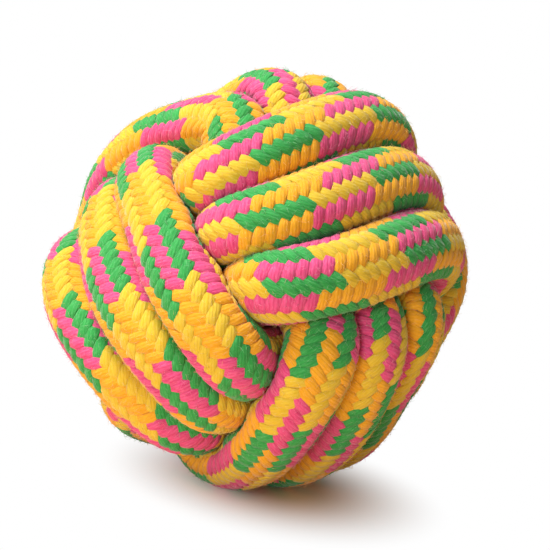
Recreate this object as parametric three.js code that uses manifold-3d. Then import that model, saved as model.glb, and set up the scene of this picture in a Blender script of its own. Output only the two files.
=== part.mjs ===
// Rope dog toy: a monkey's fist ball tied from one length of thick braided cotton rope round a core ball.
// Three coils of three turns lie square to each other, and each coil passes over the next and under
// the one before it. All lengths are in millimetres, +Z is up, and the ball stands on Z = 0.

import * as THREE from 'three';
import { mergeVertices } from 'three/addons/utils/BufferGeometryUtils.js';
import Module from 'manifold-3d';

// Driving dimensions

// Middle to middle of two turns that lie side by side
const lanePitch = 14.5;
// The rope where nothing presses it
const ropeDiameter = 16.4;
// What is left open between two turns that press each other out of round
const pressGap = 0.8;
const coreDiameter = 37;
// The core that the turns close round with nothing to spare, in lane pitches. Round a larger or smaller
// core every turn lies further out or in.
const snugCoreShare = 2.55;
// How deep the rope is flattened where the ball rests
const restFlat = 1.64;
const seatGap = 0.3;

// Both rope ends are necked and bound, and lie tucked under the turns
const neckDiameter = 9.4;
const neckLength = 11;
const neckTaper = 6;
const bindingLength = 6.5;
const bindingInset = 2;
const bindingWall = 0.9;

// Counts
const ropeStations = 412;
const neckStations = 4;
const ropeSides = 10;
const routeSamples = 3000;
const neighbourSamples = 1000;
const coreSegments = 28;
const coreRings = 18;

// How the ball lies at rest, turned about X, Y and Z
const restDegrees = { x: 143, y: 30, z: 64 };

// The shape of one turn, as shares of the lane pitch. It is a rounded oblong that stands tall where the
// turn crosses over another coil, and lies low where it passes under. The third and fifth shares square
// its corners. The lane shares change an outer turn of the coil against its middle turn.
const tallShare = 3.01;
const tallThirdShare = -0.17;
const tallFifthShare = 0.06;
const lowShare = 2.25;
const lowThirdShare = 0.5;
const laneTallShare = 0.16;
const laneTallThirdShare = -0.04;
const laneLowShare = 0.14;
const laneLowThirdShare = -0.06;
const laneTallLeanShare = 0.23;
const laneLowLeanShare = -0.13;
const laneLowLeanThirdShare = -0.08;
const laneStepShare = 1.03;
const laneSpreadShare = 0.15;
const twistShare = 0.15;
const twistDoubleShare = 0.14;

// Each coil: which knot axis it stands tall on, lies low on and is stacked along, the angles between which
// the rope steps to the next lane on a pass that is covered, and the angles at which it starts and ends.
// Angles are degrees of turning, and 0 is the middle of the coil's first pass over the front.
const coils = [
  { tall: 'y', low: 'z', stack: 'x', stepFrom: 25, stepTo: 117, start: -256, end: 746 },
  { tall: 'z', low: 'x', stack: 'y', stepFrom: 46, stepTo: 135, start: -200, end: 736 },
  { tall: 'x', low: 'y', stack: 'z', stepFrom: 78, stepTo: 150, start: -183, end: 800 },
];
// The two bends that lead from one coil to the next, with how hard each end pulls, in lane pitches
const bends = [
  { leaveShare: 1.4, enterShare: 4.1 },
  { leaveShare: 4, enterShare: 3.7 },
];
// Degrees of turning that a bend counts for along the route
const bendDegrees = 60;
// Closer along the rope than this many pitches, two points are the same stretch and not neighbours
const sameStretchShare = 1.7;
// On the inside of its own bend the rope reaches this share of the way to the bend's middle
const bendInsideShare = 0.8;

const fullTurnDegrees = 360;
const toRadians = Math.PI / 180;
const cottonYellow = '#f2c230';
const coreBrown = '#b08a5e';
const bindingCream = '#e9e2cf';

// Smooth step from 0 to 1
function ease(share) {
  const x = THREE.MathUtils.clamp(share, 0, 1);
  return x * x * (3 - 2 * x);
}

// A point of a coil at so many degrees of turning, in the knot's own frame
function coilPoint(coil, turned) {
  const turn = Math.floor(turned / fullTurnDegrees);
  const within = turned - turn * fullTurnDegrees;
  const stepped = ease((within - coil.stepFrom) / (coil.stepTo - coil.stepFrom));
  const lane = THREE.MathUtils.clamp(1 - turn - stepped, -1, 1);
  const edge = lane * lane;
  const a = -turned * toRadians;
  const point = new THREE.Vector3();
  point[coil.tall] = (tallShare - laneTallShare * edge) * Math.cos(a)
    + (tallThirdShare - laneTallThirdShare * edge) * Math.cos(3 * a)
    + tallFifthShare * Math.cos(5 * a)
    + lane * laneTallLeanShare * Math.sin(a);
  point[coil.low] = (lowShare - laneLowShare * edge) * Math.sin(a)
    + (lowThirdShare - laneLowThirdShare * edge) * Math.sin(3 * a)
    + lane * (laneLowLeanShare * Math.cos(a) + laneLowLeanThirdShare * Math.cos(3 * a));
  point[coil.stack] = lane * (laneStepShare + laneSpreadShare * Math.cos(2 * a))
    + twistShare * Math.sin(2 * a)
    + twistDoubleShare * Math.sin(4 * a);
  point.multiplyScalar(lanePitch);
  return point.setLength(point.length() + (coreDiameter - snugCoreShare * lanePitch) / 2);
}

// The direction in which a coil runs at so many degrees of turning
function coilDirection(coil, turned) {
  const step = 0.5;
  return coilPoint(coil, turned + step).sub(coilPoint(coil, turned - step)).normalize();
}

// The bend from the end of one coil to the start of the next
function bendPoint(from, to, bend, share) {
  const leave = coilDirection(from, from.end).multiplyScalar(bend.leaveShare * lanePitch);
  const enter = coilDirection(to, to.start).multiplyScalar(bend.enterShare * lanePitch);
  const s2 = share * share;
  const s3 = s2 * share;
  return coilPoint(from, from.end).multiplyScalar(2 * s3 - 3 * s2 + 1)
    .addScaledVector(leave, s3 - 2 * s2 + share)
    .addScaledVector(coilPoint(to, to.start), 3 * s2 - 2 * s3)
    .addScaledVector(enter, s3 - s2);
}

// The rope's middle line, from one tucked end to the other, as the ball lies at rest
class KnotRoute extends THREE.Curve {
  constructor() {
    super();
    this.arcLengthDivisions = routeSamples;
    this.lie = new THREE.Quaternion().setFromEuler(
      new THREE.Euler(restDegrees.x * toRadians, restDegrees.y * toRadians, restDegrees.z * toRadians, 'XYZ'),
    );
    this.parts = [];
    coils.forEach((coil, index) => {
      const turning = coil.end - coil.start;
      this.parts.push({ turning, at: (share) => coilPoint(coil, coil.start + share * turning) });
      const next = coils[index + 1];
      if (next) {
        this.parts.push({ turning: bendDegrees, at: (share) => bendPoint(coil, next, bends[index], share) });
      }
    });
    this.turning = this.parts.reduce((sum, part) => sum + part.turning, 0);
  }

  getPoint(t) {
    let left = t * this.turning;
    const last = this.parts[this.parts.length - 1];
    for (const part of this.parts) {
      if (left <= part.turning || part === last) {
        return part.at(left / part.turning).applyQuaternion(this.lie);
      }
      left -= part.turning;
    }
    return undefined;
  }
}

// Stations along the route, with a frame at each that doesn't spin about it
function framesAlong(route, distances, length) {
  const across = new THREE.Vector3();
  return distances.map((distance, index) => {
    const share = distance / length;
    const along = route.getTangentAt(share);
    if (index === 0) {
      across.set(0, 0, 1);
    }
    across.addScaledVector(along, -across.dot(along)).normalize();
    return {
      distance,
      along,
      middle: route.getPointAt(share),
      across: across.clone(),
      over: along.clone().cross(across),
    };
  });
}

// What can press the rope at a station: the nearest points of other stretches, seen from its middle,
// and the bend of its own stretch
function pressAt(frame, route, length, points) {
  const spacing = length / (points.length - 1);
  const neighbours = points
    .filter((point, index) => Math.abs(index * spacing - frame.distance) > sameStretchShare * lanePitch)
    .map((point) => point.clone().sub(frame.middle))
    .filter((towards) => towards.length() < ropeDiameter);
  const back = Math.max(0, frame.distance - spacing) / length;
  const ahead = Math.min(length, frame.distance + spacing) / length;
  const bend = route.getTangentAt(ahead).sub(route.getTangentAt(back)).divideScalar((ahead - back) * length);
  return { neighbours, bend };
}

// How far the rope's skin lies from its middle in one direction
function pressedRadius(frame, press, outward, freeRadius) {
  let radius = freeRadius;
  press.neighbours.forEach((towards) => {
    const reach = towards.dot(outward);
    if (reach > 0) {
      radius = Math.min(radius, towards.lengthSq() / (2 * reach) - pressGap / 2);
    }
  });
  const inside = press.bend.dot(outward);
  if (inside > 0) {
    radius = Math.min(radius, bendInsideShare / inside);
  }
  const inwards = -frame.middle.dot(outward) / frame.middle.length();
  if (inwards > 0) {
    radius = Math.min(radius, (frame.middle.length() - coreDiameter / 2 - seatGap) / inwards);
  }
  return radius;
}

// A closed body swept through frames: a solid bar, or a sleeve where it has an inner radius.
// Each radius is a function of the frame and the direction outward.
function sweep(frames, outerRadius, innerRadius) {
  const corners = [];
  const faces = [];
  const addRing = (frame, radiusAt) => {
    const first = corners.length / 3;
    for (let side = 0; side < ropeSides; side += 1) {
      const angle = side / ropeSides * fullTurnDegrees * toRadians;
      const outward = frame.across.clone().multiplyScalar(Math.cos(angle))
        .addScaledVector(frame.over, Math.sin(angle));
      const corner = frame.middle.clone().addScaledVector(outward, radiusAt(frame, outward));
      corners.push(corner.x, corner.y, corner.z);
    }
    return first;
  };
  const joinRings = (ringA, ringB) => {
    for (let side = 0; side < ropeSides; side += 1) {
      const next = (side + 1) % ropeSides;
      faces.push(ringA + side, ringA + next, ringB + next, ringA + side, ringB + next, ringB + side);
    }
  };
  const capRing = (ring, middle, ahead) => {
    const centre = corners.length / 3;
    corners.push(middle.x, middle.y, middle.z);
    for (let side = 0; side < ropeSides; side += 1) {
      const next = (side + 1) % ropeSides;
      faces.push(centre, ring + (ahead ? side : next), ring + (ahead ? next : side));
    }
  };
  const outer = frames.map((frame) => addRing(frame, outerRadius));
  for (let index = 1; index < outer.length; index += 1) {
    joinRings(outer[index - 1], outer[index]);
  }
  const last = frames.length - 1;
  if (innerRadius) {
    const inner = frames.map((frame) => addRing(frame, innerRadius));
    for (let index = 1; index < inner.length; index += 1) {
      joinRings(inner[index], inner[index - 1]);
    }
    joinRings(inner[0], outer[0]);
    joinRings(outer[last], inner[last]);
  } else {
    capRing(outer[0], frames[0].middle, false);
    capRing(outer[last], frames[last].middle, true);
  }
  const geometry = new THREE.BufferGeometry();
  geometry.setAttribute('position', new THREE.Float32BufferAttribute(corners, 3));
  geometry.setIndex(faces);
  return geometry;
}

const route = new KnotRoute();
const ropeLength = route.getLength();

// The rope's radius at a distance from its nearer end: necked, then swelling to its full size
function ropeRadius(distance) {
  const fromEnd = Math.min(distance, ropeLength - distance);
  const swell = ease((fromEnd - neckLength) / neckTaper);
  return THREE.MathUtils.lerp(neckDiameter, ropeDiameter, swell) / 2;
}

function evenly(from, to, count) {
  return Array.from({ length: count }, (_, index) => from + (to - from) * index / count);
}

// Joins or cuts need a solid whose shared corners are merged
const wasm = await Module();
wasm.setup();

function toSolid(geometry) {
  const merged = mergeVertices(geometry.clone().deleteAttribute('normal').deleteAttribute('uv'));
  return new wasm.Manifold(new wasm.Mesh({
    numProp: 3,
    vertProperties: new Float32Array(merged.attributes.position.array),
    triVerts: new Uint32Array(merged.index.array),
  }));
}

function toGeometry(solid) {
  const mesh = solid.getMesh();
  const geometry = new THREE.BufferGeometry();
  geometry.setAttribute('position', new THREE.Float32BufferAttribute(mesh.vertProperties, 3));
  geometry.setIndex(Array.from(mesh.triVerts));
  return geometry;
}

// Rope
function makeRope() {
  const neck = neckLength + neckTaper;
  const distances = [
    ...evenly(0, neck, neckStations),
    ...evenly(neck, ropeLength - neck, ropeStations),
    ...evenly(ropeLength - neck, ropeLength, neckStations),
    ropeLength,
  ];
  const frames = framesAlong(route, distances, ropeLength);
  const points = route.getSpacedPoints(neighbourSamples);
  frames.forEach((frame) => {
    frame.press = pressAt(frame, route, ropeLength, points);
  });
  const skin = (frame, outward) => pressedRadius(frame, frame.press, outward, ropeRadius(frame.distance));
  const bar = sweep(frames, skin);
  bar.computeBoundingBox();
  const low = bar.boundingBox.min;
  const size = bar.boundingBox.getSize(new THREE.Vector3());
  // The ground presses a flat where the ball stands
  const ground = new THREE.BoxGeometry(size.x, size.y, size.z);
  ground.translate(low.x + size.x / 2, low.y + size.y / 2, low.z + restFlat - size.z / 2);
  const pressed = toSolid(bar).subtract(toSolid(ground));
  return { geometry: toGeometry(pressed), corners: bar.attributes.position, frames };
}

// A band wound round each necked end
function makeBinding(from, to) {
  const frames = framesAlong(route, [...evenly(from, to, neckStations), to], ropeLength);
  const inner = neckDiameter / 2 + seatGap;
  return sweep(frames, () => inner + bindingWall, () => inner);
}

function cotton(color) {
  return new THREE.MeshStandardMaterial({ color, roughness: 0.9, metalness: 0 });
}

const ropeForm = makeRope();
const rope = new THREE.Mesh(ropeForm.geometry, cotton(cottonYellow));
rope.name = 'rope';

const startBinding = new THREE.Mesh(
  makeBinding(bindingInset, bindingInset + bindingLength),
  cotton(bindingCream),
);
startBinding.name = 'start_binding';

const endBinding = new THREE.Mesh(
  makeBinding(ropeLength - bindingInset - bindingLength, ropeLength - bindingInset),
  cotton(bindingCream),
);
endBinding.name = 'end_binding';

const coreBall = new THREE.Mesh(
  new THREE.SphereGeometry(coreDiameter / 2, coreSegments, coreRings),
  cotton(coreBrown),
);
coreBall.name = 'core_ball';

// The ball stands on the ground plane, with its box centred over the origin
rope.geometry.computeBoundingBox();
const ropeBox = rope.geometry.boundingBox;
const ropeMiddle = ropeBox.getCenter(new THREE.Vector3());
const toy = new THREE.Group();
toy.name = 'rope_dog_toy';
toy.position.set(-ropeMiddle.x, -ropeMiddle.y, -ropeBox.min.z);
toy.add(rope, startBinding, endBinding, coreBall);

// The least gap of the rope to itself and to the core, measured between its corners
function leastGaps(form) {
  const corners = form.frames.map((frame, station) => evenly(0, ropeSides, ropeSides)
    .map((side) => new THREE.Vector3().fromBufferAttribute(form.corners, station * ropeSides + side)));
  let self = Infinity;
  let core = Infinity;
  form.frames.forEach((frame, station) => {
    corners[station].forEach((corner) => {
      core = Math.min(core, corner.length() - coreDiameter / 2);
    });
    for (let other = station + 1; other < form.frames.length; other += 1) {
      const near = form.frames[other];
      const apart = near.distance - frame.distance > sameStretchShare * lanePitch;
      if (apart && near.middle.distanceTo(frame.middle) < ropeDiameter + lanePitch) {
        corners[station].forEach((corner) => corners[other].forEach((facing) => {
          self = Math.min(self, corner.distanceTo(facing));
        }));
      }
    }
  });
  return { self, core };
}

const gaps = leastGaps(ropeForm);
console.log(`rope length ${ropeLength.toFixed(0)} mm in ${coils.length} coils`);
console.log(`least gap of the rope to itself ${gaps.self.toFixed(2)} mm`);
console.log(`least gap of the rope to the core ${gaps.core.toFixed(2)} mm`);

export default toy;
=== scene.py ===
"""Rope ball dog toy: a monkey's fist tied from one length of thick braided cotton rope.

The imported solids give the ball's size, its core and its two bound rope ends. This add-on braids the rope
that stands on them: twenty-four cotton yarns, two over and two under, laid along the knot's real route.
"""

import functools
import math

import bpy
import numpy as np
from bpy.props import EnumProperty, FloatProperty, FloatVectorProperty, IntProperty, PointerProperty
from mathutils import Matrix, Vector


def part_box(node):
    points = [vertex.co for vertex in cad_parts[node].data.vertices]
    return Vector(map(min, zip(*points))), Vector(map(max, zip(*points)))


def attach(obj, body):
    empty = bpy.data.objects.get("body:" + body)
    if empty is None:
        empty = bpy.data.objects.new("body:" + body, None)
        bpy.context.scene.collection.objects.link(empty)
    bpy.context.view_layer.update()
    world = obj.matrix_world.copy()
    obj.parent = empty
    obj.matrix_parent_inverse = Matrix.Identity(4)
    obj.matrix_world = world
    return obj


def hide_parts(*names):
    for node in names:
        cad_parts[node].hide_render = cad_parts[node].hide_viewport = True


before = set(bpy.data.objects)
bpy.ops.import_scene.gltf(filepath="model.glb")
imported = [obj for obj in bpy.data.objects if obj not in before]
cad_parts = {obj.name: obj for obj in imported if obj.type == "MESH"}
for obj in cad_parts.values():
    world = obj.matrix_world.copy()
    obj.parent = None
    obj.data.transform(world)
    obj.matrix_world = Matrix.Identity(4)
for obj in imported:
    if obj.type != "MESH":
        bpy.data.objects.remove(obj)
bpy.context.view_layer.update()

bl_info = {
    "name": "Rope Ball Dog Toy",
    "version": (1, 0, 0),
    "blender": (4, 5, 0),
    "location": "3D View > Sidebar > Rope Ball",
    "description": "Braids, colours and lights a rope ball dog toy on its packed solids",
    "category": "Add Mesh",
}

MM = 0.001
X, Y, Z = 0, 1, 2

# The knot's route, as the part's source has it. Lengths that end in _SHARE are in lane pitches.
LANE_PITCH = 14.5 * MM
SNUG_CORE_SHARE = 2.55
REST_DEGREES = (143, 30, 64)
TALL_SHARE, TALL_THIRD_SHARE, TALL_FIFTH_SHARE = 3.01, -0.17, 0.06
LOW_SHARE, LOW_THIRD_SHARE = 2.25, 0.5
LANE_TALL_SHARE, LANE_TALL_THIRD_SHARE = 0.16, -0.04
LANE_LOW_SHARE, LANE_LOW_THIRD_SHARE = 0.14, -0.06
LANE_TALL_LEAN_SHARE = 0.23
LANE_LOW_LEAN_SHARE, LANE_LOW_LEAN_THIRD_SHARE = -0.13, -0.08
LANE_STEP_SHARE, LANE_SPREAD_SHARE = 1.03, 0.15
TWIST_SHARE, TWIST_DOUBLE_SHARE = 0.15, 0.14
BEND_DEGREES = 60
COILS = (
    {"tall": Y, "low": Z, "stack": X, "step": (25, 117), "start": -256, "end": 746},
    {"tall": Z, "low": X, "stack": Y, "step": (46, 135), "start": -200, "end": 736},
    {"tall": X, "low": Y, "stack": Z, "step": (78, 150), "start": -183, "end": 800},
)
BENDS = ({"leave": 1.4, "enter": 4.1}, {"leave": 4.0, "enter": 3.7})
NECK_DIAMETER, NECK_LENGTH, NECK_TAPER = 9.4 * MM, 11 * MM, 6 * MM
SAME_STRETCH_SHARE = 1.7
BEND_INSIDE_SHARE = 0.8
SEAT_GAP = 0.3 * MM

# Where the real ball's turns are pulled out of the neat knot, or drawn into it, as the photo shows them.
# In millimetres: how far along the rope, how much rope follows on either side, and the pull along X and Z.
TUGS = (
    (56, 11, 4.6, 0.8),
    (84, 16, -4.0, 1.5),
    (189, 13, 3.6, 1.0),
    (212, 9, 0.8, -2.4),
    (453, 14, 3.4, -1.0),
    (698, 10, -1.0, 0.0),
    (719, 10, 3.8, -1.4),
    (752, 14, -0.6, 0.8),
    (772, 9, 0.4, -1.8),
    (1036, 14, 0.0, 2.8),
    (1287, 14, 0.6, 2.0),
    (1352, 10, 2.0, 0.0),
    (1377, 18, -3.6, 2.0),
    (1600, 8, 0.8, 0.0),
    (2099, 8, 0.8, 1.2),
)

# How finely the rope is worked out
ROUTE_PER_DEGREE = 6
STATION_STEP = 1.0 * MM
SKIN_SIDES = 72
SKIN_SOFT_DEGREES = 9
SKIN_SOFT_LENGTH = 1.6 * MM
# How far a bend may shorten or stretch the skin, and the length over which the yarns slide to even it
LEAST_STRETCH, MOST_STRETCH = 0.35, 1.6
SLIDE_LENGTH = 16 * MM
# Stands in for nought where something is divided by it
TINY = 1e-9
# How far a bent rope keeps its lay on the outside of the bend, 0 for not at all and 1 for fully
TAUT_SHARE = 0.8
TAUT_LENGTH = 6 * MM

# The braid: twelve yarns wind each way, and each goes over two and under two of the others
YARNS_EACH_WAY = 12
FLOATS_PER_TURN = 6
SECTION_FILL = 0.75
YARN_END_GAP = 0.2 * MM
# How much a yarn's top leans from the pressed skin's own slope towards straight out of the rope
OUTWARD_LEAN = 0.35
# No two yarns are pulled alike: radians of wander in one lay, and radians between one yarn and the next
SLOW_WANDER, SLOW_APART = 7.3, 2.4
QUICK_WANDER, QUICK_APART = 17.9, 5.1
WIDTH_WANDER, WIDTH_APART = 29.3, 3.7
# The loose fibres, as shares of the yarn's width or of a fibre's own length
FIBRE_SIDES = 3
FIBRES_FACE_OUT = 0.15
FIBRE_YARN_ROUNDNESS = 0.8
FIBRE_LENGTHS = (0.4, 1.3)
FIBRE_RISE = (0.3, 0.9)
FIBRE_TIP_RISE = (-0.2, 0.6)
FIBRE_ROOT_SHARE = 0.3
FIBRE_KNEE_THICKNESS = 0.8
# The filling: how far under the yarns it lies, in yarn thicknesses, and its least share of the rope's radius.
# It needs only every second station and every third side of the skin.
FILLING_UNDER_SHARE = 0.6
FILLING_LEAST_SHARE = 0.45
FILLING_STATIONS, FILLING_SIDES = 2, 3
BAKE_MAP = "OFBake"
BAKE_MARGIN = 0.03
YARN_MAP = "Yarn"
YARN_COLOURS = {
    # colour: (which way the yarn winds, place of its first yarn among the twelve)
    "pink": (-1, 0),
    "orange": (-1, 6),
    "green": (1, 0),
    "yellow": (1, 6),
}
YARNS_PER_COLOUR = 6
# How the braid lies on each turn that faces the viewer, counted in the photo. Against an even braid it
# is rolled round the rope by some columns of stitches, and its colours come some stitches sooner.
TURNS_SEEN = (
    # millimetres along the rope, columns rolled, stitches sooner
    (180, 1.5, -4),
    (420, 1, 0),
    (680, 0, -2),
    (860, 1.5, 0.5),
    (1120, -3.5, 0.5),
    (1370, 2, -4),
    (1560, 2, -1.5),
    (1820, -1.5, -5),
    (2080, -2, -1.5),
)

# What each layer of a yarn's pattern adds to its tone, from deep to lit. The crowns' layer is painted light
# on the threads' crowns and painted shade between them; the others are random tone and wear
CROWN_SHADE_TONE, STREAK_TONE, SHADE_TONE, PATCH_TONE = 0.25, 0.3, 0.45, 0.55
TONE_SHIFT = -0.25
# Where streaks are strong they get a painted highlight: from which strength, how fast, and how far towards
# white
STREAK_HIGHLIGHT_FROM, STREAK_HIGHLIGHT_SHARE, STREAK_HIGHLIGHT_WHITE = 0.6, 0.8, 0.3
# Light comes through a single fibre, so it is this far towards white
FIBRE_WHITE = 0.2
# Blender's noise seldom leaves the middle, so it is drawn apart
NOISE_SPREAD, NOISE_SHIFT = 2.2, -0.6
# Each yarn's streaks start this far from the last one's in the noise, so no two are alike
PATTERN_APART = 7.3
COTTON_IOR = 1.53
WOOD_IOR = 1.5

# The shades between the threads, or in the grain, of what is hidden in the knot
FILLING_DEEP = "#b98a2c"
BINDING_DEEP = "#b9ad8e"
BEECH_DEEP = "#9a6f45"

# The stage, in metres and watts
FLOOR_RADIUS = 3
FLOOR_MIDDLE_X = 14 * MM
FADE_FROM, FADE_TO = 0.01, 0.046
SOFT_LIGHT = 0.26
LAMPS = (
    # name, place, width of its disk, power
    ("key", (-0.42, -0.02, 0.82), 0.35, 10.8),
    ("fill", (-0.5, -0.9, 0.22), 0.5, 4.8),
)

# The photo's view: degrees round the ball, above the ground and of turn about the line of sight
CAMERA_ROUND, CAMERA_ABOVE, CAMERA_TURN = -3.8, 10.2, 10.3
CAMERA_DISTANCE = 377 * MM
CAMERA_LENS = 98.7
# How far the ball's middle is off the picture's middle, in pixels of its side
PICTURE_SIDE = 550
BALL_LEFT, BALL_DOWN = 14.0, 10.5


def linear(hex_colour):
    """An sRGB hex colour as the linear values that Blender works in."""
    parts = [int(hex_colour[i : i + 2], 16) / 255 for i in (1, 3, 5)]
    return tuple(c / 12.92 if c <= 0.04045 else ((c + 0.055) / 1.055) ** 2.4 for c in parts)


def ease(share):
    """A smooth step from 0 to 1."""
    x = np.clip(share, 0, 1)
    return x * x * (3 - 2 * x)


def unit(vectors):
    """The same directions, one long."""
    return vectors / np.linalg.norm(vectors, axis=-1, keepdims=True)


def core_middle_and_radius():
    """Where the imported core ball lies, and how big it is."""
    low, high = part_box("core_ball")
    return np.array((low + high) / 2), (high.z - low.z) / 2


# The knot's route


def coil_points(coil, turned):
    """Points of a coil at these degrees of turning, in the knot's own frame."""
    turn = np.floor(turned / 360)
    within = turned - turn * 360
    step_from, step_to = coil["step"]
    lane = np.clip(1 - turn - ease((within - step_from) / (step_to - step_from)), -1, 1)
    edge = lane * lane
    a = -np.radians(turned)
    points = np.empty((len(turned), 3))
    points[:, coil["tall"]] = (
        (TALL_SHARE - LANE_TALL_SHARE * edge) * np.cos(a)
        + (TALL_THIRD_SHARE - LANE_TALL_THIRD_SHARE * edge) * np.cos(3 * a)
        + TALL_FIFTH_SHARE * np.cos(5 * a)
        + lane * LANE_TALL_LEAN_SHARE * np.sin(a)
    )
    points[:, coil["low"]] = (
        (LOW_SHARE - LANE_LOW_SHARE * edge) * np.sin(a)
        + (LOW_THIRD_SHARE - LANE_LOW_THIRD_SHARE * edge) * np.sin(3 * a)
        + lane * (LANE_LOW_LEAN_SHARE * np.cos(a) + LANE_LOW_LEAN_THIRD_SHARE * np.cos(3 * a))
    )
    points[:, coil["stack"]] = (
        lane * (LANE_STEP_SHARE + LANE_SPREAD_SHARE * np.cos(2 * a))
        + TWIST_SHARE * np.sin(2 * a)
        + TWIST_DOUBLE_SHARE * np.sin(4 * a)
    )
    points *= LANE_PITCH
    spare = core_middle_and_radius()[1] - SNUG_CORE_SHARE * LANE_PITCH / 2
    return points + unit(points) * spare


def coil_direction(coil, turned):
    """Which way the rope runs at this many degrees of turning."""
    ends = coil_points(coil, np.array([turned - 0.5, turned + 0.5]))
    return unit(ends[1] - ends[0])


def bend_points(before, after, bend, share):
    """The bend from the end of one coil to the start of the next."""
    leave = coil_direction(before, before["end"]) * bend["leave"] * LANE_PITCH
    enter = coil_direction(after, after["start"]) * bend["enter"] * LANE_PITCH
    first = coil_points(before, np.array([before["end"]], float))
    last = coil_points(after, np.array([after["start"]], float))
    s = share[:, None]
    return (
        first * (2 * s**3 - 3 * s**2 + 1)
        + leave * (s**3 - 2 * s**2 + s)
        + last * (3 * s**2 - 2 * s**3)
        + enter * (s**3 - s**2)
    )


def lie():
    """How the ball is turned as it lies at rest."""
    x, y, z = (math.radians(d) for d in REST_DEGREES)
    turned = Matrix.Rotation(x, 3, "X") @ Matrix.Rotation(y, 3, "Y") @ Matrix.Rotation(z, 3, "Z")
    return np.array(turned)


def route_points():
    """Evenly spaced points of the rope's middle line as the ball lies at rest, and its length."""
    parts = []
    for index, coil in enumerate(COILS):
        turning = coil["end"] - coil["start"]
        turned = np.linspace(coil["start"], coil["end"], turning * ROUTE_PER_DEGREE, endpoint=False)
        parts.append(coil_points(coil, turned))
        if index < len(BENDS):
            share = np.linspace(0, 1, BEND_DEGREES * ROUTE_PER_DEGREE, endpoint=False)
            parts.append(bend_points(coil, COILS[index + 1], BENDS[index], share))
    parts.append(coil_points(COILS[-1], np.array([COILS[-1]["end"]], float)))
    points = np.concatenate(parts) @ lie().T + core_middle_and_radius()[0]
    walked = np.concatenate([[0], np.cumsum(np.linalg.norm(np.diff(points, axis=0), axis=1))])
    length = walked[-1]
    at = np.linspace(0, length, round(length / STATION_STEP) + 1)
    points = np.stack([np.interp(at, walked, points[:, i]) for i in range(3)], 1)
    return tugged(points, at), length


def tugged(points, distance):
    """The route with some of its turns pulled about, as a hand tied and drew them."""
    points = points.copy()
    for at, reach, pull_x, pull_z in TUGS:
        follow = np.exp(-0.5 * ((distance / MM - at) / reach) ** 2) * MM
        points[:, X] += pull_x * follow
        points[:, Z] += pull_z * follow
    return points


def frames_along(points):
    """Directions along the route, and two across it that don't spin about it."""
    along = unit(np.gradient(points, axis=0))
    across = np.empty_like(along)
    side = np.array([0.0, 0.0, 1.0])
    for i, ahead in enumerate(along):
        side = side - ahead * side.dot(ahead)
        side /= np.linalg.norm(side)
        across[i] = side
    return along, across, np.cross(along, across)


# The rope's skin: how far it lies from its middle line all the way round and along


@functools.lru_cache(maxsize=1)
def rope_skin(rope_diameter, rope_width, press_gap):
    """The pressed rope: its stations, their frames and its radius at each station and side."""
    points, length = route_points()
    along, across, over = frames_along(points)
    middle, core_radius = core_middle_and_radius()
    step = length / (len(points) - 1)
    distance = np.arange(len(points)) * step
    from_end = np.minimum(distance, length - distance)
    swell = ease((from_end - NECK_LENGTH) / NECK_TAPER)
    free = (NECK_DIAMETER + (rope_diameter - NECK_DIAMETER) * swell) / 2
    spare_width = (rope_width - rope_diameter) / 2 * swell
    angle = np.arange(SKIN_SIDES) * 2 * math.pi / SKIN_SIDES
    outward = (
        across[:, None, :] * np.cos(angle)[None, :, None]
        + over[:, None, :] * np.sin(angle)[None, :, None]
    )
    # Drawn tight over the turns below it, the soft rope is wider than it is high
    from_core = points - middle
    far = np.linalg.norm(from_core, axis=1)
    outwards = np.einsum("ik,isk->is", from_core / far[:, None], outward)
    radius = free[:, None] + spare_width[:, None] * (1 - outwards**2)
    bend = np.gradient(along, step, axis=0)
    same_stretch = SAME_STRETCH_SHARE * LANE_PITCH / step
    for i, point in enumerate(points):
        towards = points - point
        apart = np.linalg.norm(towards, axis=1)
        near = (apart < rope_width) & (np.abs(np.arange(len(points)) - i) > same_stretch)
        reach = towards[near] @ outward[i].T
        half = apart[near, None] ** 2 / (2 * np.maximum(reach, TINY)) - press_gap / 2
        if len(half):
            radius[i] = np.minimum(radius[i], half.min(0))
    inside = np.einsum("ik,isk->is", bend, outward)
    radius = np.minimum(radius, BEND_INSIDE_SHARE / np.maximum(inside, TINY))
    radius = np.minimum(radius, (far - core_radius - SEAT_GAP)[:, None] / np.maximum(-outwards, TINY))
    # Soft rope has no sharp edge where a pressed flat ends
    radius = smoothed(radius, SKIN_SOFT_DEGREES * SKIN_SIDES / 360, 1)
    radius = smoothed(radius, SKIN_SOFT_LENGTH / step, 0)
    # The ground keeps its flat, so this comes after the softening
    downward = np.maximum(-outward[:, :, Z], TINY)
    radius = np.minimum(radius, points[:, Z:] / downward)
    skin = points[:, None, :] + outward * radius[:, :, None]
    slope_along = np.gradient(skin, axis=0)
    slope_round = np.roll(skin, -1, axis=1) - np.roll(skin, 1, axis=1)
    normal = unit(np.cross(slope_round, slope_along))
    flip = np.sign(np.einsum("isk,isk->is", normal, outward))
    # The outside of a bend is stretched, and the yarns slide along it until the stretch has evened out
    stretch = (1 - inside * radius).clip(LEAST_STRETCH, MOST_STRETCH)
    evened = smoothed(stretch, SLIDE_LENGTH / step, 0)
    slide = (np.cumsum(evened, 0) - np.cumsum(stretch, 0)) * step / stretch
    # Yarns hardly stretch: a bend keeps much of its lay on the outside, and bunches on the inside
    outside = smoothed(stretch, TAUT_LENGTH / step, 0).max(1)
    laid = np.cumsum(1 + TAUT_SHARE * (outside - 1)) * step
    return {
        "length": length,
        "points": points,
        "along": along,
        "across": across,
        "over": over,
        "radius": radius,
        "normal": normal * flip[:, :, None],
        "slide": slide,
        "laid": laid[:, None],
        "free": free,
    }


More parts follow.
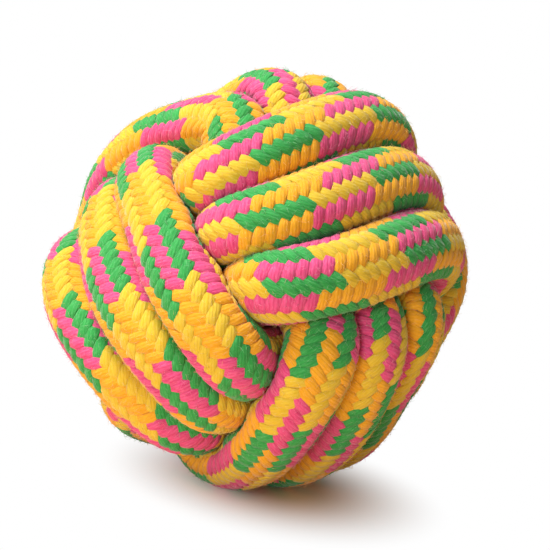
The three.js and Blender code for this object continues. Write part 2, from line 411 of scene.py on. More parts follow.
def smoothed(grid, reach, axis):
    """A skin grid blurred over this many steps along the rope, axis 0, or round it, axis 1."""
    count = int(reach * 3) + 1
    weights = np.exp(-0.5 * (np.arange(-count, count + 1) / reach) ** 2)
    weights /= weights.sum()
    if axis == 1:
        return sum(np.roll(grid, offset - count, axis=1) * w for offset, w in enumerate(weights))
    padded = np.concatenate([grid[:1]] * count + [grid] + [grid[-1:]] * count)
    return sum(padded[offset : offset + len(grid)] * w for offset, w in enumerate(weights))


def on_skin(grid, at, angle):
    """Values of a skin grid at these stations and angles, straight between its corners."""
    low = np.clip(np.floor(at).astype(int), 0, len(grid) - 2)
    part = (at - low).clip(0, 1)
    side = np.mod(angle / (2 * math.pi), 1) * SKIN_SIDES
    first = np.floor(side).astype(int) % SKIN_SIDES
    share = side - np.floor(side)
    second = (first + 1) % SKIN_SIDES
    if grid.ndim == 3:
        part, share = part[:, None], share[:, None]
    return (grid[low, first] * (1 - share) + grid[low, second] * share) * (1 - part) + (
        grid[low + 1, first] * (1 - share) + grid[low + 1, second] * share
    ) * part


def along_rope(values, at):
    """Values of each station between stations."""
    low = np.clip(np.floor(at).astype(int), 0, len(values) - 2)
    part = (at - low).clip(0, 1)[:, None]
    return values[low] * (1 - part) + values[low + 1] * part


# Yarns


def braid_lie(distance):
    """Where the columns lie round the rope, and how far the colours lead, in radians."""
    at, columns, stitches = np.array(TURNS_SEEN, float).T
    # The braid lies straight where it is seen, and shifts on the hidden stretches between
    numbers = np.arange(len(at))
    turn = np.interp(distance, at * MM, numbers)
    eased = np.floor(turn) + ease(turn % 1)
    one = 2 * math.pi / YARNS_EACH_WAY
    return np.interp(eased, numbers, columns * one), np.interp(eased, numbers, stitches * one)


def slid_station(skin, distance, angle):
    """The station at which a yarn that is this far along the rope lies at this angle."""
    stations = len(skin["points"]) - 1
    at = distance / skin["length"] * stations
    return ((distance + on_skin(skin["slide"], at, angle)) / skin["length"] * stations).clip(0, stations)


def outward_at(skin, at, angle):
    """Which way is out of the rope at these stations and angles."""
    along = unit(along_rope(skin["along"], at))
    across = unit(along_rope(skin["across"], at))
    return across * np.cos(angle)[:, None] + np.cross(along, across) * np.sin(angle)[:, None]


def skin_point(skin, distance, angle):
    """Where a yarn that is this far along the rope touches its skin at this angle."""
    at = slid_station(skin, distance, angle)
    radius = on_skin(skin["radius"], at, angle)
    return along_rope(skin["points"], at) + outward_at(skin, at, angle) * radius[:, None]


def yarn_sections(skin, sizes, winds, place):
    """Middle, outward, sideways, half width and half thickness at each step of one yarn."""
    length, lay = skin["length"], sizes.lay_length
    steps = round(length / lay * FLOATS_PER_TURN * sizes.steps_per_float)
    distance = np.linspace(YARN_END_GAP, length - YARN_END_GAP, steps + 1)
    lays = distance / lay
    spacing = 2 * math.pi / YARNS_EACH_WAY
    columns, lead = braid_lie(distance)
    slow = np.sin(lays * SLOW_WANDER + place * SLOW_APART + winds)
    quick = np.sin(lays * QUICK_WANDER + place * QUICK_APART)
    # Both ways of winding meet at the columns' edges, a quarter of a float's turn from their middles
    laid = along_rope(skin["laid"], distance / length * (len(skin["points"]) - 1))[:, 0]
    wound = winds * (2 * math.pi * laid / lay + lead) + spacing * (place - 0.25)
    wound = wound + spacing * sizes.unevenness * (slow + quick)
    angle = wound + columns
    at = slid_station(skin, distance, angle)
    outward = outward_at(skin, at, angle)
    normal = unit(unit(on_skin(skin["normal"], at, angle)) + OUTWARD_LEAN * outward)
    wave = np.cos(FLOATS_PER_TURN * wound) * -winds
    wave = np.tanh(sizes.float_squareness * wave) / math.tanh(sizes.float_squareness)
    # The yarns thin with the rope where it is necked
    free = along_rope(skin["free"][:, None], at)[:, 0]
    thickness = sizes.yarn_thickness * free / (sizes.rope_diameter / 2)
    # A yarn on top bulges between the places where it dives
    depth = thickness * (0.5 + sizes.dive_share * (1 - wave) / 2)
    radius = on_skin(skin["radius"], at, angle)
    middle = along_rope(skin["points"], at) + outward * (radius - depth)[:, None]
    forward = unit(np.gradient(middle, axis=0))
    sideways = unit(np.cross(forward, normal))
    facing = unit(np.cross(sideways, forward))
    # The room that a yarn has, square to itself, between its neighbours on either side
    before = skin_point(skin, distance, angle - spacing / 2)
    beyond = skin_point(skin, distance, angle + spacing / 2)
    gap = np.abs(np.einsum("ij,ij->i", beyond - before, sideways))
    width = gap / 2 * sizes.width_share * (1 - sizes.pinch_share * (1 - wave) / 2)
    width = width * (1 + sizes.unevenness * np.sin(lays * WIDTH_WANDER + place * WIDTH_APART - winds))
    return middle, facing, sideways, width, thickness / 2


def fibre_corners(sections, sizes, random):
    """Corners of a yarn's loose fibres where it faces out of the ball: rings at root and knee, and a tip."""
    middle, facing, sideways, width, half = sections
    outwards = np.einsum("ij,ij->i", facing, unit(middle - core_middle_and_radius()[0]))
    at = random.choice(np.nonzero(outwards > FIBRES_FACE_OUT)[0], sizes.fibres_per_yarn)
    up, side = facing[at], sideways[at]

    def spread(low, high):
        """A number for each fibre, evenly spread between these."""
        return random.uniform(low, high, (len(at), 1))

    across_yarn = spread(-1, 1)
    crown = np.sqrt(1 - FIBRE_YARN_ROUNDNESS * across_yarn**2)
    place = middle[at] + up * half[at, None] * crown + side * width[at, None] * across_yarn
    # Most fibres lie nearly flat on the rope, and rise a little from it
    flat = random.normal(size=up.shape)
    flat = unit(flat - up * np.einsum("ij,ij->i", flat, up)[:, None])
    reach = sizes.fibre_length * spread(*FIBRE_LENGTHS) / 2
    first = unit(up * spread(*FIBRE_RISE) + flat) * reach
    second = unit(up * spread(*FIBRE_TIP_RISE) + flat) * reach
    across = unit(np.cross(first, up))
    over = unit(np.cross(across, first))
    turn = np.arange(FIBRE_SIDES) * 2 * math.pi / FIBRE_SIDES
    ring = across[:, None] * np.cos(turn)[None, :, None] + over[:, None] * np.sin(turn)[None, :, None]
    ring *= sizes.fibre_thickness / 2
    root = place - first * FIBRE_ROOT_SHARE
    knee = place + first
    rings = [root[:, None] + ring, knee[:, None] + ring * FIBRE_KNEE_THICKNESS]
    corners = np.concatenate([*rings, (knee + second)[:, None]], 1)
    corners[:, :, Z] = np.maximum(corners[:, :, Z], 0)
    return corners


def fibre_mesh(name, corners):
    """Loose cotton fibres as three-sided spikes, each bent once, with a closed root."""
    count, each = corners.shape[:2]
    side = np.arange(FIBRE_SIDES)
    after = (side + 1) % FIBRE_SIDES
    tip = np.full(FIBRE_SIDES, each - 1)
    lower = np.stack([side, after, after + FIBRE_SIDES, side + FIBRE_SIDES], 1)
    upper = np.stack([side + FIBRE_SIDES, after + FIBRE_SIDES, tip], 1)
    faces = []
    for start in range(0, count * each, each):
        faces += (lower + start).tolist() + (upper + start).tolist() + [(side[::-1] + start).tolist()]
    mesh = bpy.data.meshes.new(name)
    mesh.from_pydata(corners.reshape(-1, 3).tolist(), [], faces)
    mesh.shade_smooth()
    return mesh


def rounded_square(value):
    """Fills out a round section a little towards a square one."""
    return np.sign(value) * np.abs(value) ** SECTION_FILL


def tube_quads(rings, sides):
    """The four-sided faces between neighbouring rings of corners."""
    ring = np.arange(rings - 1)[:, None] * sides
    side = np.arange(sides)[None, :]
    after = (side + 1) % sides
    return np.stack([ring + side, ring + after, ring + sides + after, ring + sides + side], -1).reshape(-1, 4)


def tube_mesh(name, middle, facing, sideways, width, half, sides):
    """A closed tube with a flattened round section, with a pattern map and a folded bake map."""
    count = len(middle)
    turn = np.arange(sides) * 2 * math.pi / sides
    up, out = rounded_square(np.cos(turn)), rounded_square(np.sin(turn))
    corners = (
        middle[:, None, :]
        + facing[:, None, :] * (up[None, :] * half[:, None])[:, :, None]
        + sideways[:, None, :] * (out[None, :] * width[:, None])[:, :, None]
    ).reshape(-1, 3)
    corners[:, Z] = np.maximum(corners[:, Z], 0)
    quads = tube_quads(count, sides)
    first_cap = np.arange(sides)[::-1]
    last_cap = np.arange(sides) + (count - 1) * sides
    loops = np.concatenate([quads.ravel(), first_cap, last_cap])
    sizes_of_faces = np.concatenate([np.full(len(quads), 4), [sides, sides]])
    starts = np.concatenate([[0], np.cumsum(sizes_of_faces)[:-1]])
    mesh = bpy.data.meshes.new(name)
    mesh.vertices.add(len(corners))
    mesh.vertices.foreach_set("co", corners.astype(np.float32).ravel())
    mesh.loops.add(len(loops))
    mesh.loops.foreach_set("vertex_index", loops.astype(np.int32))
    mesh.polygons.add(len(starts))
    mesh.polygons.foreach_set("loop_start", starts.astype(np.int32))
    mesh.update(calc_edges=True)
    walked = np.concatenate([[0], np.cumsum(np.linalg.norm(np.diff(middle, axis=0), axis=1))])
    map_yarn(mesh, walked, sides, len(quads), len(loops))
    map_bake(mesh, walked, float(2 * math.pi * width.mean()), sides, len(quads), len(loops))
    mesh.shade_smooth()
    mesh.validate()
    return mesh


def map_yarn(mesh, walked, sides, quads, corners):
    """Millimetres along the yarn, and turns round it, for the thread pattern."""
    start, end = walked[:-1], walked[1:]
    along = np.repeat(np.stack([start, start, end, end], -1), sides, axis=0) / MM
    side = np.tile(np.arange(sides), quads // sides)
    round_it = np.stack([side, side + 1, side + 1, side], -1) / sides
    map_corners(mesh, YARN_MAP, along, round_it, corners)


def map_bake(mesh, walked, girth, sides, quads, corners):
    """The yarn's whole skin folded into rows that fill a square, so that an export keeps its threads."""
    total = walked[-1]
    rows = max(1, round(math.sqrt(total / girth)))
    row = np.minimum((walked[:-1] / total * rows).astype(int), rows - 1)
    start = np.array([walked[:-1][row == r].min() for r in range(rows)])
    end = np.array([walked[1:][row == r].max() for r in range(rows)])
    longest = (end - start).max()
    low = (walked[:-1] - start[row]) / longest
    high = (walked[1:] - start[row]) / longest
    u = np.repeat(np.stack([low, low, high, high], -1), sides, axis=0)
    side = np.tile(np.arange(sides), quads // sides)
    part = np.stack([side, side + 1, side + 1, side], -1) / sides
    v = (np.repeat(row, sides)[:, None] + BAKE_MARGIN + (1 - 2 * BAKE_MARGIN) * part) / rows
    map_corners(mesh, BAKE_MAP, u, v, corners)


def map_corners(mesh, name, u, v, corners):
    """Adds a map with these places for the corners of the tube's sides."""
    places = np.zeros((corners, 2), np.float32)
    places[: u.size, 0] = u.ravel()
    places[: v.size, 1] = v.ravel()
    # The two end caps take the last place, which is the end of the yarn
    places[u.size :] = places[u.size - 1]
    mesh.uv_layers.new(name=name).data.foreach_set("uv", places.ravel())


def add_rope_piece(mesh, material):
    """Adds a piece that stands, with the others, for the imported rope."""
    piece = bpy.data.objects.new(mesh.name, mesh)
    bpy.context.scene.collection.objects.link(piece)
    mesh.materials.append(material)
    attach(piece, "root")
    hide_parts("rope")


# Finishes


def add(tree, kind, links=(), **settings):
    """Adds a node, sets its properties and sockets, and links outputs to its inputs."""
    node = tree.nodes.new(kind)
    for key, value in settings.items():
        if hasattr(node, key):
            setattr(node, key, value)
        else:
            node.inputs[key].default_value = value
    for socket, source in dict(links).items():
        tree.links.new(source, node.inputs[socket])
    return node


def new_material(name):
    """An empty material and its nodes."""
    material = bpy.data.materials.new(name)
    material.use_nodes = True
    material.node_tree.nodes.clear()
    return material, material.node_tree


def maths(tree, operation, first, second=None, third=None, clamp=False):
    """The outcome of a sum on numbers or sockets."""
    node = add(tree, "ShaderNodeMath", operation=operation, use_clamp=clamp)
    for index, value in enumerate((first, second, third)):
        if isinstance(value, (int, float)):
            node.inputs[index].default_value = value
        elif value is not None:
            tree.links.new(value, node.inputs[index])
    return node.outputs[0]


def mix_colours(tree, share, first, second):
    """A share of the second colour over the first, each a socket or linear values."""
    node = add(tree, "ShaderNodeMix", data_type="RGBA", blend_type="MIX")
    for index, value in ((0, share), (6, first), (7, second)):
        if isinstance(value, (int, float)):
            node.inputs[index].default_value = value
        elif isinstance(value, tuple):
            node.inputs[index].default_value = (*value, 1)
        else:
            tree.links.new(value, node.inputs[index])
    return node.outputs[2]


def towards_white(colour, share):
    """A paler shade of a linear colour."""
    return tuple(c + (1 - c) * share for c in colour)


def mercerised_cotton(name, colours, sizes, seed):
    """Soft spun cotton with a faint silky sheen: each yarn shows a few fine twisted threads side by side,
    painted light on their crowns and with painted shade between them, with painted highlights on strong
    streaks, and loose fibres lying along them."""
    lit, deep = colours
    material, tree = new_material(name)
    place = add(tree, "ShaderNodeUVMap", uv_map=YARN_MAP).outputs[0]
    split = add(tree, "ShaderNodeSeparateXYZ", {"Vector": place})
    # The threads run along the yarn and wind slowly round it
    wound = maths(tree, "MULTIPLY_ADD", split.outputs[0], 1 / sizes.thread_lay_mm, split.outputs[1])
    around = maths(tree, "MULTIPLY", wound, sizes.threads_round)
    wave = maths(tree, "COSINE", maths(tree, "MULTIPLY", around, 2 * math.pi))
    # The crowns raise the bump, and they also paint the yarn: painted light on the crowns, painted shade
    # between them
    crown = maths(tree, "POWER", maths(tree, "MULTIPLY_ADD", wave, 0.5, 0.5), 0.6)
    # Fibres: fine streaks drawn out along each thread, a fifth of its width apart
    streaks = streaked(tree, split.outputs[0], around, 1.1, 5.0, seed)
    # Each thread is a little lighter or darker for a few millimetres
    shades = streaked(tree, split.outputs[0], around, 0.28, 0.9, seed + 3)
    # The whole yarn is patchy where it has rubbed, in patches about 4.5 mm across
    object_place = add(tree, "ShaderNodeTexCoord").outputs["Object"]
    patch = add(tree, "ShaderNodeTexNoise", {"Vector": object_place}, Scale=220, Detail=3, Roughness=0.6)
    # Painted shade: the grooves between threads are darker, the crowns lighter
    tone = maths(tree, "MULTIPLY", crown, CROWN_SHADE_TONE)
    tone = maths(tree, "MULTIPLY_ADD", streaks, STREAK_TONE, tone)
    tone = maths(tree, "MULTIPLY_ADD", shades, SHADE_TONE, tone)
    tone = maths(tree, "MULTIPLY_ADD", patch.outputs[0], PATCH_TONE, tone)
    # From the deep colour, which carries the painted shade between threads, to the lit one
    colour = mix_colours(tree, maths(tree, "ADD", tone, TONE_SHIFT, clamp=True), deep, lit)
    # Painted highlight: strong streaks are painted paler, as fibres that catch the light
    strong = maths(tree, "SUBTRACT", streaks, STREAK_HIGHLIGHT_FROM, clamp=True)
    streak_highlight = maths(tree, "MULTIPLY", strong, STREAK_HIGHLIGHT_SHARE, clamp=True)
    colour = mix_colours(tree, streak_highlight, colour, towards_white(lit, STREAK_HIGHLIGHT_WHITE))
    height = maths(tree, "MULTIPLY_ADD", streaks, 0.6, crown)
    bump = add(tree, "ShaderNodeBump", {"Height": height}, Strength=0.6, Distance=0.1 * MM)
    shader = add(
        tree,
        "ShaderNodeBsdfPrincipled",
        {"Base Color": colour, "Normal": bump.outputs[0]},
        Roughness=0.85,
        IOR=COTTON_IOR,
    )
    shader.inputs["Specular IOR Level"].default_value = 0.2
    shader.inputs["Sheen Weight"].default_value = 0.3
    shader.inputs["Sheen Roughness"].default_value = 0.35
    add(tree, "ShaderNodeOutputMaterial", {"Surface": shader.outputs[0]})
    return material


def streaked(tree, along_mm, around, along_scale, around_scale, seed):
    """Noise drawn out along the yarn, from 0 to 1."""
    along = maths(tree, "MULTIPLY", along_mm, along_scale)
    across = maths(tree, "MULTIPLY", around, around_scale)
    place = add(tree, "ShaderNodeCombineXYZ", {"X": along, "Y": across}, Z=seed)
    noise = add(tree, "ShaderNodeTexNoise", {"Vector": place.outputs[0]}, Scale=1, Detail=2, Roughness=0.6)
    return maths(tree, "MULTIPLY_ADD", noise.outputs[0], NOISE_SPREAD, NOISE_SHIFT, clamp=True)


def loose_fibre(name, lit):
    """Single cotton fibres: thin enough that light comes through, so paler than their yarn."""
    material, tree = new_material(name)
    shader = add(tree, "ShaderNodeBsdfPrincipled", Roughness=0.7, IOR=COTTON_IOR)
    shader.inputs["Base Color"].default_value = (*towards_white(lit, FIBRE_WHITE), 1)
    add(tree, "ShaderNodeOutputMaterial", {"Surface": shader.outputs[0]})
    return material


def plain_cotton(name, lit, deep, grain, bump_mm):
    """Loose or waxed cotton: soft, dull and slightly uneven. Its grain is in specks to a metre."""
    material, tree = new_material(name)
    place = add(tree, "ShaderNodeTexCoord").outputs["Object"]
    noise = add(tree, "ShaderNodeTexNoise", {"Vector": place}, Scale=grain, Detail=4, Roughness=0.6)
    colour = mix_colours(tree, noise.outputs[0], deep, lit)
    bump = add(tree, "ShaderNodeBump", {"Height": noise.outputs[0]}, Strength=0.6, Distance=bump_mm * MM)
    links = {"Base Color": colour, "Normal": bump.outputs[0]}
    shader = add(tree, "ShaderNodeBsdfPrincipled", links, Roughness=0.9, IOR=COTTON_IOR)
    add(tree, "ShaderNodeOutputMaterial", {"Surface": shader.outputs[0]})
    return material


def turned_beech(name, lit, deep):
    """Plain turned beech: pale pinkish brown with fine growth rings, unvarnished."""
    material, tree = new_material(name)
    place = add(tree, "ShaderNodeTexCoord").outputs["Object"]
    rings = add(
        tree,
        "ShaderNodeTexWave",
        {"Vector": place},
        wave_type="RINGS",
        Scale=90,
        Distortion=2.0,
        Detail=3,
    )
    colour = mix_colours(tree, rings.outputs[1], deep, lit)
    bump = add(tree, "ShaderNodeBump", {"Height": rings.outputs[1]}, Strength=0.2, Distance=0.05 * MM)
    links = {"Base Color": colour, "Normal": bump.outputs[0]}
    shader = add(tree, "ShaderNodeBsdfPrincipled", links, Roughness=0.55, IOR=WOOD_IOR)
    add(tree, "ShaderNodeOutputMaterial", {"Surface": shader.outputs[0]})
    return material


# Settings


class RopeBallSizes(bpy.types.PropertyGroup):
    rope_diameter: FloatProperty(
        name="Rope height",
        description="The rope's thickness outwards from the ball's middle, where nothing presses it",
        default=14.9 * MM,
        min=12 * MM,
        max=20 * MM,
        unit="LENGTH",
    )
    rope_width: FloatProperty(
        name="Rope width",
        description="The rope's width along the ball's surface, where nothing presses it",
        default=18.2 * MM,
        min=12 * MM,
        max=24 * MM,
        unit="LENGTH",
    )
    press_gap: FloatProperty(
        name="Press gap",
        description="Left open between two turns that press each other",
        default=0.1 * MM,
        min=0,
        max=1 * MM,
        unit="LENGTH",
    )
    lay_length: FloatProperty(
        name="Lay length",
        description="How far along the outside of the rope's bends a yarn goes once round it",
        default=35.7 * MM,
        min=20 * MM,
        max=60 * MM,
        unit="LENGTH",
    )
    yarn_thickness: FloatProperty(
        name="Yarn thickness",
        description="A yarn's thickness where it lies flat on the braid",
        default=1.05 * MM,
        min=0.5 * MM,
        max=3 * MM,
        unit="LENGTH",
    )
    width_share: FloatProperty(
        name="Yarn width",
        description="A yarn's width as a share of the room between its neighbours",
        default=1.17,
        min=0.5,
        max=1.5,
    )
    pinch_share: FloatProperty(
        name="Pinch",
        description="How much narrower a yarn gets where it passes under others",
        default=0.06,
        min=0,
        max=0.6,
    )
    dive_share: FloatProperty(
        name="Dive",
        description="How deep a yarn passes under others, in yarn thicknesses",
        default=0.8,
        min=0.3,
        max=2,
    )
    float_squareness: FloatProperty(
        name="Float squareness",
        description="How flat a yarn lies on top before it dives",
        default=2.0,
        min=0.2,
        max=5,
    )
    unevenness: FloatProperty(
        name="Unevenness",
        description="How far a yarn strays from its place, in spacings between yarns",
        default=0.05,
        min=0,
        max=0.2,
    )
    steps_per_float: IntProperty(
        name="Steps per float",
        description="Steps of the mesh for each time that a yarn goes over and under",
        default=9,
        min=4,
        max=16,
    )
    yarn_sides: IntProperty(
        name="Yarn sides",
        description="Sides of a yarn's section",
        default=8,
        min=4,
        max=12,
    )
    threads_round: IntProperty(
        name="Threads round a yarn",
        description="Fine threads that show round a yarn's whole section",
        default=11,
        min=3,
        max=20,
    )
    thread_lay_mm: FloatProperty(
        name="Thread lay",
        description="Millimetres of yarn in which its threads wind once round it",
        default=30,
        min=5,
        max=100,
    )
    fibres_per_yarn: IntProperty(
        name="Loose fibres",
        description="Loose fibres that stand off one yarn",
        default=2200,
        min=0,
        max=5000,
    )
    fibre_length: FloatProperty(
        name="Fibre length",
        description="How far a loose fibre reaches",
        default=1.5 * MM,
        min=0.2 * MM,
        max=5 * MM,
        unit="LENGTH",
    )
    fibre_thickness: FloatProperty(
        name="Fibre thickness",
        description="A loose fibre's thickness at its root",
        default=0.07 * MM,
        min=0.01 * MM,
        max=0.2 * MM,
        unit="LENGTH",
    )


def colour_setting(name, description, hex_colour):
    return FloatVectorProperty(
        name=name,
        description=description,
        subtype="COLOR",
        size=3,
        min=0,
        max=1,
        default=linear(hex_colour),
    )


class RopeBallColours(bpy.types.PropertyGroup):
    # The lit colours carry painted light on the thread crowns; the deep ones carry the painted shade between
    # threads and the yarn's darker random tone
    pink: colour_setting("Pink", "Pink yarn on its thread crowns", "#ec6296")
    pink_dark_and_shaded: colour_setting("Pink, deep", "Pink yarn between its threads", "#c62c62")
    orange: colour_setting("Orange", "Orange yarn on its thread crowns", "#f5b22c")
    orange_dark_and_shaded: colour_setting("Orange, deep", "Orange yarn between its threads", "#da9414")
    green: colour_setting("Green", "Green yarn on its thread crowns", "#44b058")
    green_dark_and_shaded: colour_setting("Green, deep", "Green yarn between its threads", "#1f7f38")
    yellow: colour_setting("Yellow", "Yellow yarn on its thread crowns", "#e4c440")
    yellow_dark_and_shaded: colour_setting("Yellow, deep", "Yellow yarn between its threads", "#d2a91c")
    filling: colour_setting("Filling", "Loose cotton inside the braid", "#d8a848")
    binding: colour_setting("Binding", "Whipping round the rope's ends", "#e9e2cf")
    beech: colour_setting("Core", "The wooden ball in the knot", "#c49a6c")
    # The floor's warm tint is painted bounce light from the ball
    floor: colour_setting("Floor", "The pale floor", "#f6d6b0")


# Operators


class ROPEBALL_OT_braid_yarns(bpy.types.Operator):
    """Lays the six yarns of one colour along the rope, two over and two under, with their loose fibres"""

    bl_idname = "ropeball.braid_yarns"
    bl_label = "Braid Yarns"

    colour: EnumProperty(
        name="Colour",
        description="Which yarns to lay",
        items=[(c, c.capitalize(), f"The {c} yarns") for c in YARN_COLOURS],
    )

    def execute(self, context):
        sizes = context.scene.rope_ball_sizes
        colours = context.scene.rope_ball_colours
        skin = rope_skin(sizes.rope_diameter, sizes.rope_width, sizes.press_gap)
        winds, first = YARN_COLOURS[self.colour]
        lit = tuple(getattr(colours, self.colour))
        # The deep colour holds the painted shade between the threads and the yarn's darker tone
        deep = tuple(getattr(colours, self.colour + "_dark_and_shaded"))
        random = np.random.default_rng(list(YARN_COLOURS).index(self.colour))
        corners = []
        for index in range(YARNS_PER_COLOUR):
            place = first + index
            label = f"mercerised cotton {self.colour} {index + 1}"
            material = mercerised_cotton(label, (lit, deep), sizes, place * PATTERN_APART + winds)
            sections = yarn_sections(skin, sizes, winds, place)
            mesh = tube_mesh(f"yarn_{self.colour}_{index + 1}", *sections, sizes.yarn_sides)
            add_rope_piece(mesh, material)
            corners.append(fibre_corners(sections, sizes, random))
        fibres = fibre_mesh(f"fibres_{self.colour}", np.concatenate(corners))
        add_rope_piece(fibres, loose_fibre(f"loose cotton fibres {self.colour}", lit))
        return {"FINISHED"}


class ROPEBALL_OT_fill_rope(bpy.types.Operator):
    """Fills the braid with its loose cotton heart"""

    bl_idname = "ropeball.fill_rope"
    bl_label = "Fill Rope"

    def execute(self, context):
        sizes = context.scene.rope_ball_sizes
        colours = context.scene.rope_ball_colours
        skin = rope_skin(sizes.rope_diameter, sizes.rope_width, sizes.press_gap)
        depth = sizes.yarn_thickness * (FILLING_UNDER_SHARE + sizes.dive_share)
        sides = SKIN_SIDES // FILLING_SIDES
        angle = np.arange(sides) * 2 * math.pi / sides
        every = slice(None, None, FILLING_STATIONS)
        points, across, over = skin["points"][every], skin["across"][every], skin["over"][every]
        radius = skin["radius"][every, ::FILLING_SIDES]
        shrunk = np.maximum(radius - depth, radius * FILLING_LEAST_SHARE)
        outward = (
            across[:, None] * np.cos(angle)[None, :, None]
            + over[:, None] * np.sin(angle)[None, :, None]
        )
        corners = (points[:, None] + outward * shrunk[:, :, None]).reshape(-1, 3)
        faces = tube_quads(len(points), sides).tolist()
        faces += [list(range(sides))[::-1], [(len(points) - 1) * sides + s for s in range(sides)]]
        mesh = bpy.data.meshes.new("rope_filling")
        mesh.from_pydata(corners.tolist(), [], faces)
        mesh.shade_smooth()
        lit, deep = tuple(colours.filling), linear(FILLING_DEEP)
        add_rope_piece(mesh, plain_cotton("loose cotton filling", lit, deep, grain=900, bump_mm=0.2))
        return {"FINISHED"}


class ROPEBALL_OT_dress_hidden_parts(bpy.types.Operator):
    """Gives the core ball and the two end bindings their finishes"""

    bl_idname = "ropeball.dress_hidden_parts"
    bl_label = "Dress Core and Bindings"

    def execute(self, context):
        colours = context.scene.rope_ball_colours
        lit, deep = tuple(colours.binding), linear(BINDING_DEEP)
        whipping = plain_cotton("waxed cotton whipping", lit, deep, grain=1400, bump_mm=0.15)
        beech = turned_beech("turned beech", tuple(colours.beech), linear(BEECH_DEEP))
        for name, material, slot in (
            ("start_binding", whipping, "binding_tape"),
            ("end_binding", whipping, "binding_tape"),
            ("core_ball", beech, "core"),
        ):
            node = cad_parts[name]
            node.data.materials.clear()
            node.data.materials.append(material)
        return {"FINISHED"}


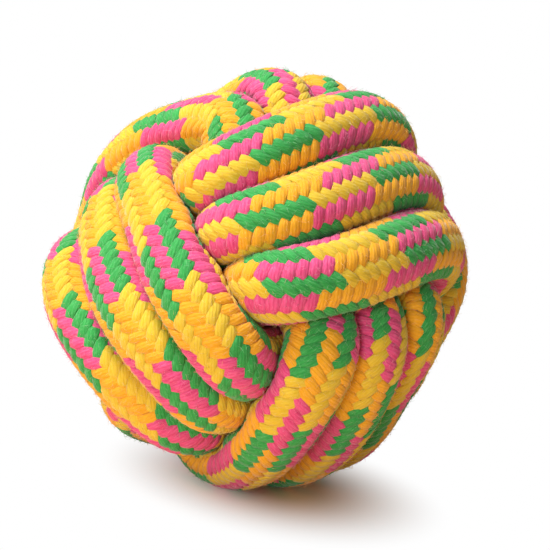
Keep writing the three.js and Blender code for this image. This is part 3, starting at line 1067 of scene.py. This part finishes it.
class ROPEBALL_OT_set_stage(bpy.types.Operator):
    """Adds the pale floor, the soft lamps, the white surround and the camera"""

    bl_idname = "ropeball.set_stage"
    bl_label = "Set Stage"

    def execute(self, context):
        self.add_floor(context.scene.rope_ball_colours)
        self.add_world(context.scene)
        middle = Vector(core_middle_and_radius()[0])
        for name, place, side, power in LAMPS:
            self.add_lamp(name, Vector(place), middle, side, power)
        self.add_camera(context.scene, middle)
        context.scene.view_settings.view_transform = "Standard"
        return {"FINISHED"}

    def add_floor(self, colours):
        """Matt white paper, whose warm tint is painted bounce light from the ball and shows only near the
        ball.
        """
        bpy.ops.object.select_all(action="DESELECT")
        place = (FLOOR_MIDDLE_X, 0, 0)
        bpy.ops.mesh.primitive_circle_add(
            vertices=64,
            radius=FLOOR_RADIUS,
            fill_type="NGON",
            location=place,
        )
        floor = bpy.context.object
        floor.name = "floor"
        material, tree = new_material("matt white paper")
        shader = add(tree, "ShaderNodeBsdfPrincipled", Roughness=0.6)
        # The warm base colour is painted bounce light from the ball, seen only near it
        shader.inputs["Base Color"].default_value = (*colours.floor, 1)
        white = add(tree, "ShaderNodeEmission", Color=(1, 1, 1, 1), Strength=1.0)
        # Far from the ball the paper runs out into the white surround, for the camera alone
        place = add(tree, "ShaderNodeTexCoord").outputs["Object"]
        far = add(tree, "ShaderNodeVectorMath", {0: place}, operation="LENGTH").outputs["Value"]
        fade = add(tree, "ShaderNodeMapRange", {"Value": far}, interpolation_type="SMOOTHSTEP")
        fade.inputs["From Min"].default_value = FADE_FROM
        fade.inputs["From Max"].default_value = FADE_TO
        seen = add(tree, "ShaderNodeLightPath").outputs["Is Camera Ray"]
        share = maths(tree, "MULTIPLY", fade.outputs[0], seen)
        mixed = add(tree, "ShaderNodeMixShader", {0: share, 1: shader.outputs[0], 2: white.outputs[0]})
        add(tree, "ShaderNodeOutputMaterial", {"Surface": mixed.outputs[0]})
        floor.data.materials.append(material)

    def add_world(self, scene):
        """A weak even light, which the camera sees as white."""
        world = bpy.data.worlds.new("white surround")
        world.use_nodes = True
        tree = world.node_tree
        tree.nodes.clear()
        path = add(tree, "ShaderNodeLightPath")
        soft = add(tree, "ShaderNodeBackground", Color=(1, 1, 1, 1), Strength=SOFT_LIGHT)
        white = add(tree, "ShaderNodeBackground", Color=(1, 1, 1, 1), Strength=1.0)
        mixed = add(
            tree,
            "ShaderNodeMixShader",
            {0: path.outputs["Is Camera Ray"], 1: soft.outputs[0], 2: white.outputs[0]},
        )
        add(tree, "ShaderNodeOutputWorld", {"Surface": mixed.outputs[0]})
        scene.world = world

    def add_lamp(self, name, place, middle, side, power):
        """A round soft lamp that points at the ball."""
        lamp = bpy.data.lights.new(name, "AREA")
        lamp.shape = "DISK"
        lamp.size = side
        lamp.energy = power
        stand = bpy.data.objects.new(name, lamp)
        bpy.context.scene.collection.objects.link(stand)
        stand.location = place
        stand.rotation_euler = (middle - place).to_track_quat("-Z", "Y").to_euler()

    def add_camera(self, scene, middle):
        """The camera at the photo's angle, with the ball where the photo has it."""
        camera = bpy.data.cameras.new("camera")
        camera.lens = CAMERA_LENS
        camera.clip_start = 10 * MM
        camera.shift_x = BALL_LEFT / PICTURE_SIDE
        camera.shift_y = BALL_DOWN / PICTURE_SIDE
        stand = bpy.data.objects.new("camera", camera)
        scene.collection.objects.link(stand)
        round_it, above, turn = (math.radians(d) for d in (CAMERA_ROUND, CAMERA_ABOVE, CAMERA_TURN))
        turned = (
            Matrix.Rotation(round_it, 4, "Z")
            @ Matrix.Rotation(math.pi / 2 - above, 4, "X")
            @ Matrix.Rotation(turn, 4, "Z")
        )
        back = turned.to_3x3() @ Vector((0, 0, 1))
        stand.matrix_world = Matrix.Translation(middle + back * CAMERA_DISTANCE) @ turned
        scene.camera = stand


class ROPEBALL_PT_panel(bpy.types.Panel):
    """Sizes, colours and steps of the rope ball"""

    bl_label = "Rope Ball"
    bl_space_type = "VIEW_3D"
    bl_region_type = "UI"
    bl_category = "Rope Ball"

    def draw(self, context):
        layout = self.layout
        for colour in YARN_COLOURS:
            layout.operator("ropeball.braid_yarns", text=f"Braid {colour} yarns").colour = colour
        layout.operator("ropeball.fill_rope")
        layout.operator("ropeball.dress_hidden_parts")
        layout.operator("ropeball.set_stage")
        for group in (context.scene.rope_ball_sizes, context.scene.rope_ball_colours):
            box = layout.box()
            for name in group.__annotations__:
                box.prop(group, name)


CLASSES = (
    RopeBallSizes,
    RopeBallColours,
    ROPEBALL_OT_braid_yarns,
    ROPEBALL_OT_fill_rope,
    ROPEBALL_OT_dress_hidden_parts,
    ROPEBALL_OT_set_stage,
    ROPEBALL_PT_panel,
)


def register():
    for kind in CLASSES:
        bpy.utils.register_class(kind)
    bpy.types.Scene.rope_ball_sizes = PointerProperty(type=RopeBallSizes)
    bpy.types.Scene.rope_ball_colours = PointerProperty(type=RopeBallColours)


def unregister():
    del bpy.types.Scene.rope_ball_colours
    del bpy.types.Scene.rope_ball_sizes
    for kind in reversed(CLASSES):
        bpy.utils.unregister_class(kind)


def main():
    register()
    for colour in YARN_COLOURS:
        bpy.ops.ropeball.braid_yarns(colour=colour)
    bpy.ops.ropeball.fill_rope()
    bpy.ops.ropeball.dress_hidden_parts()
    bpy.ops.ropeball.set_stage()


if __name__ == "__main__":
    main()
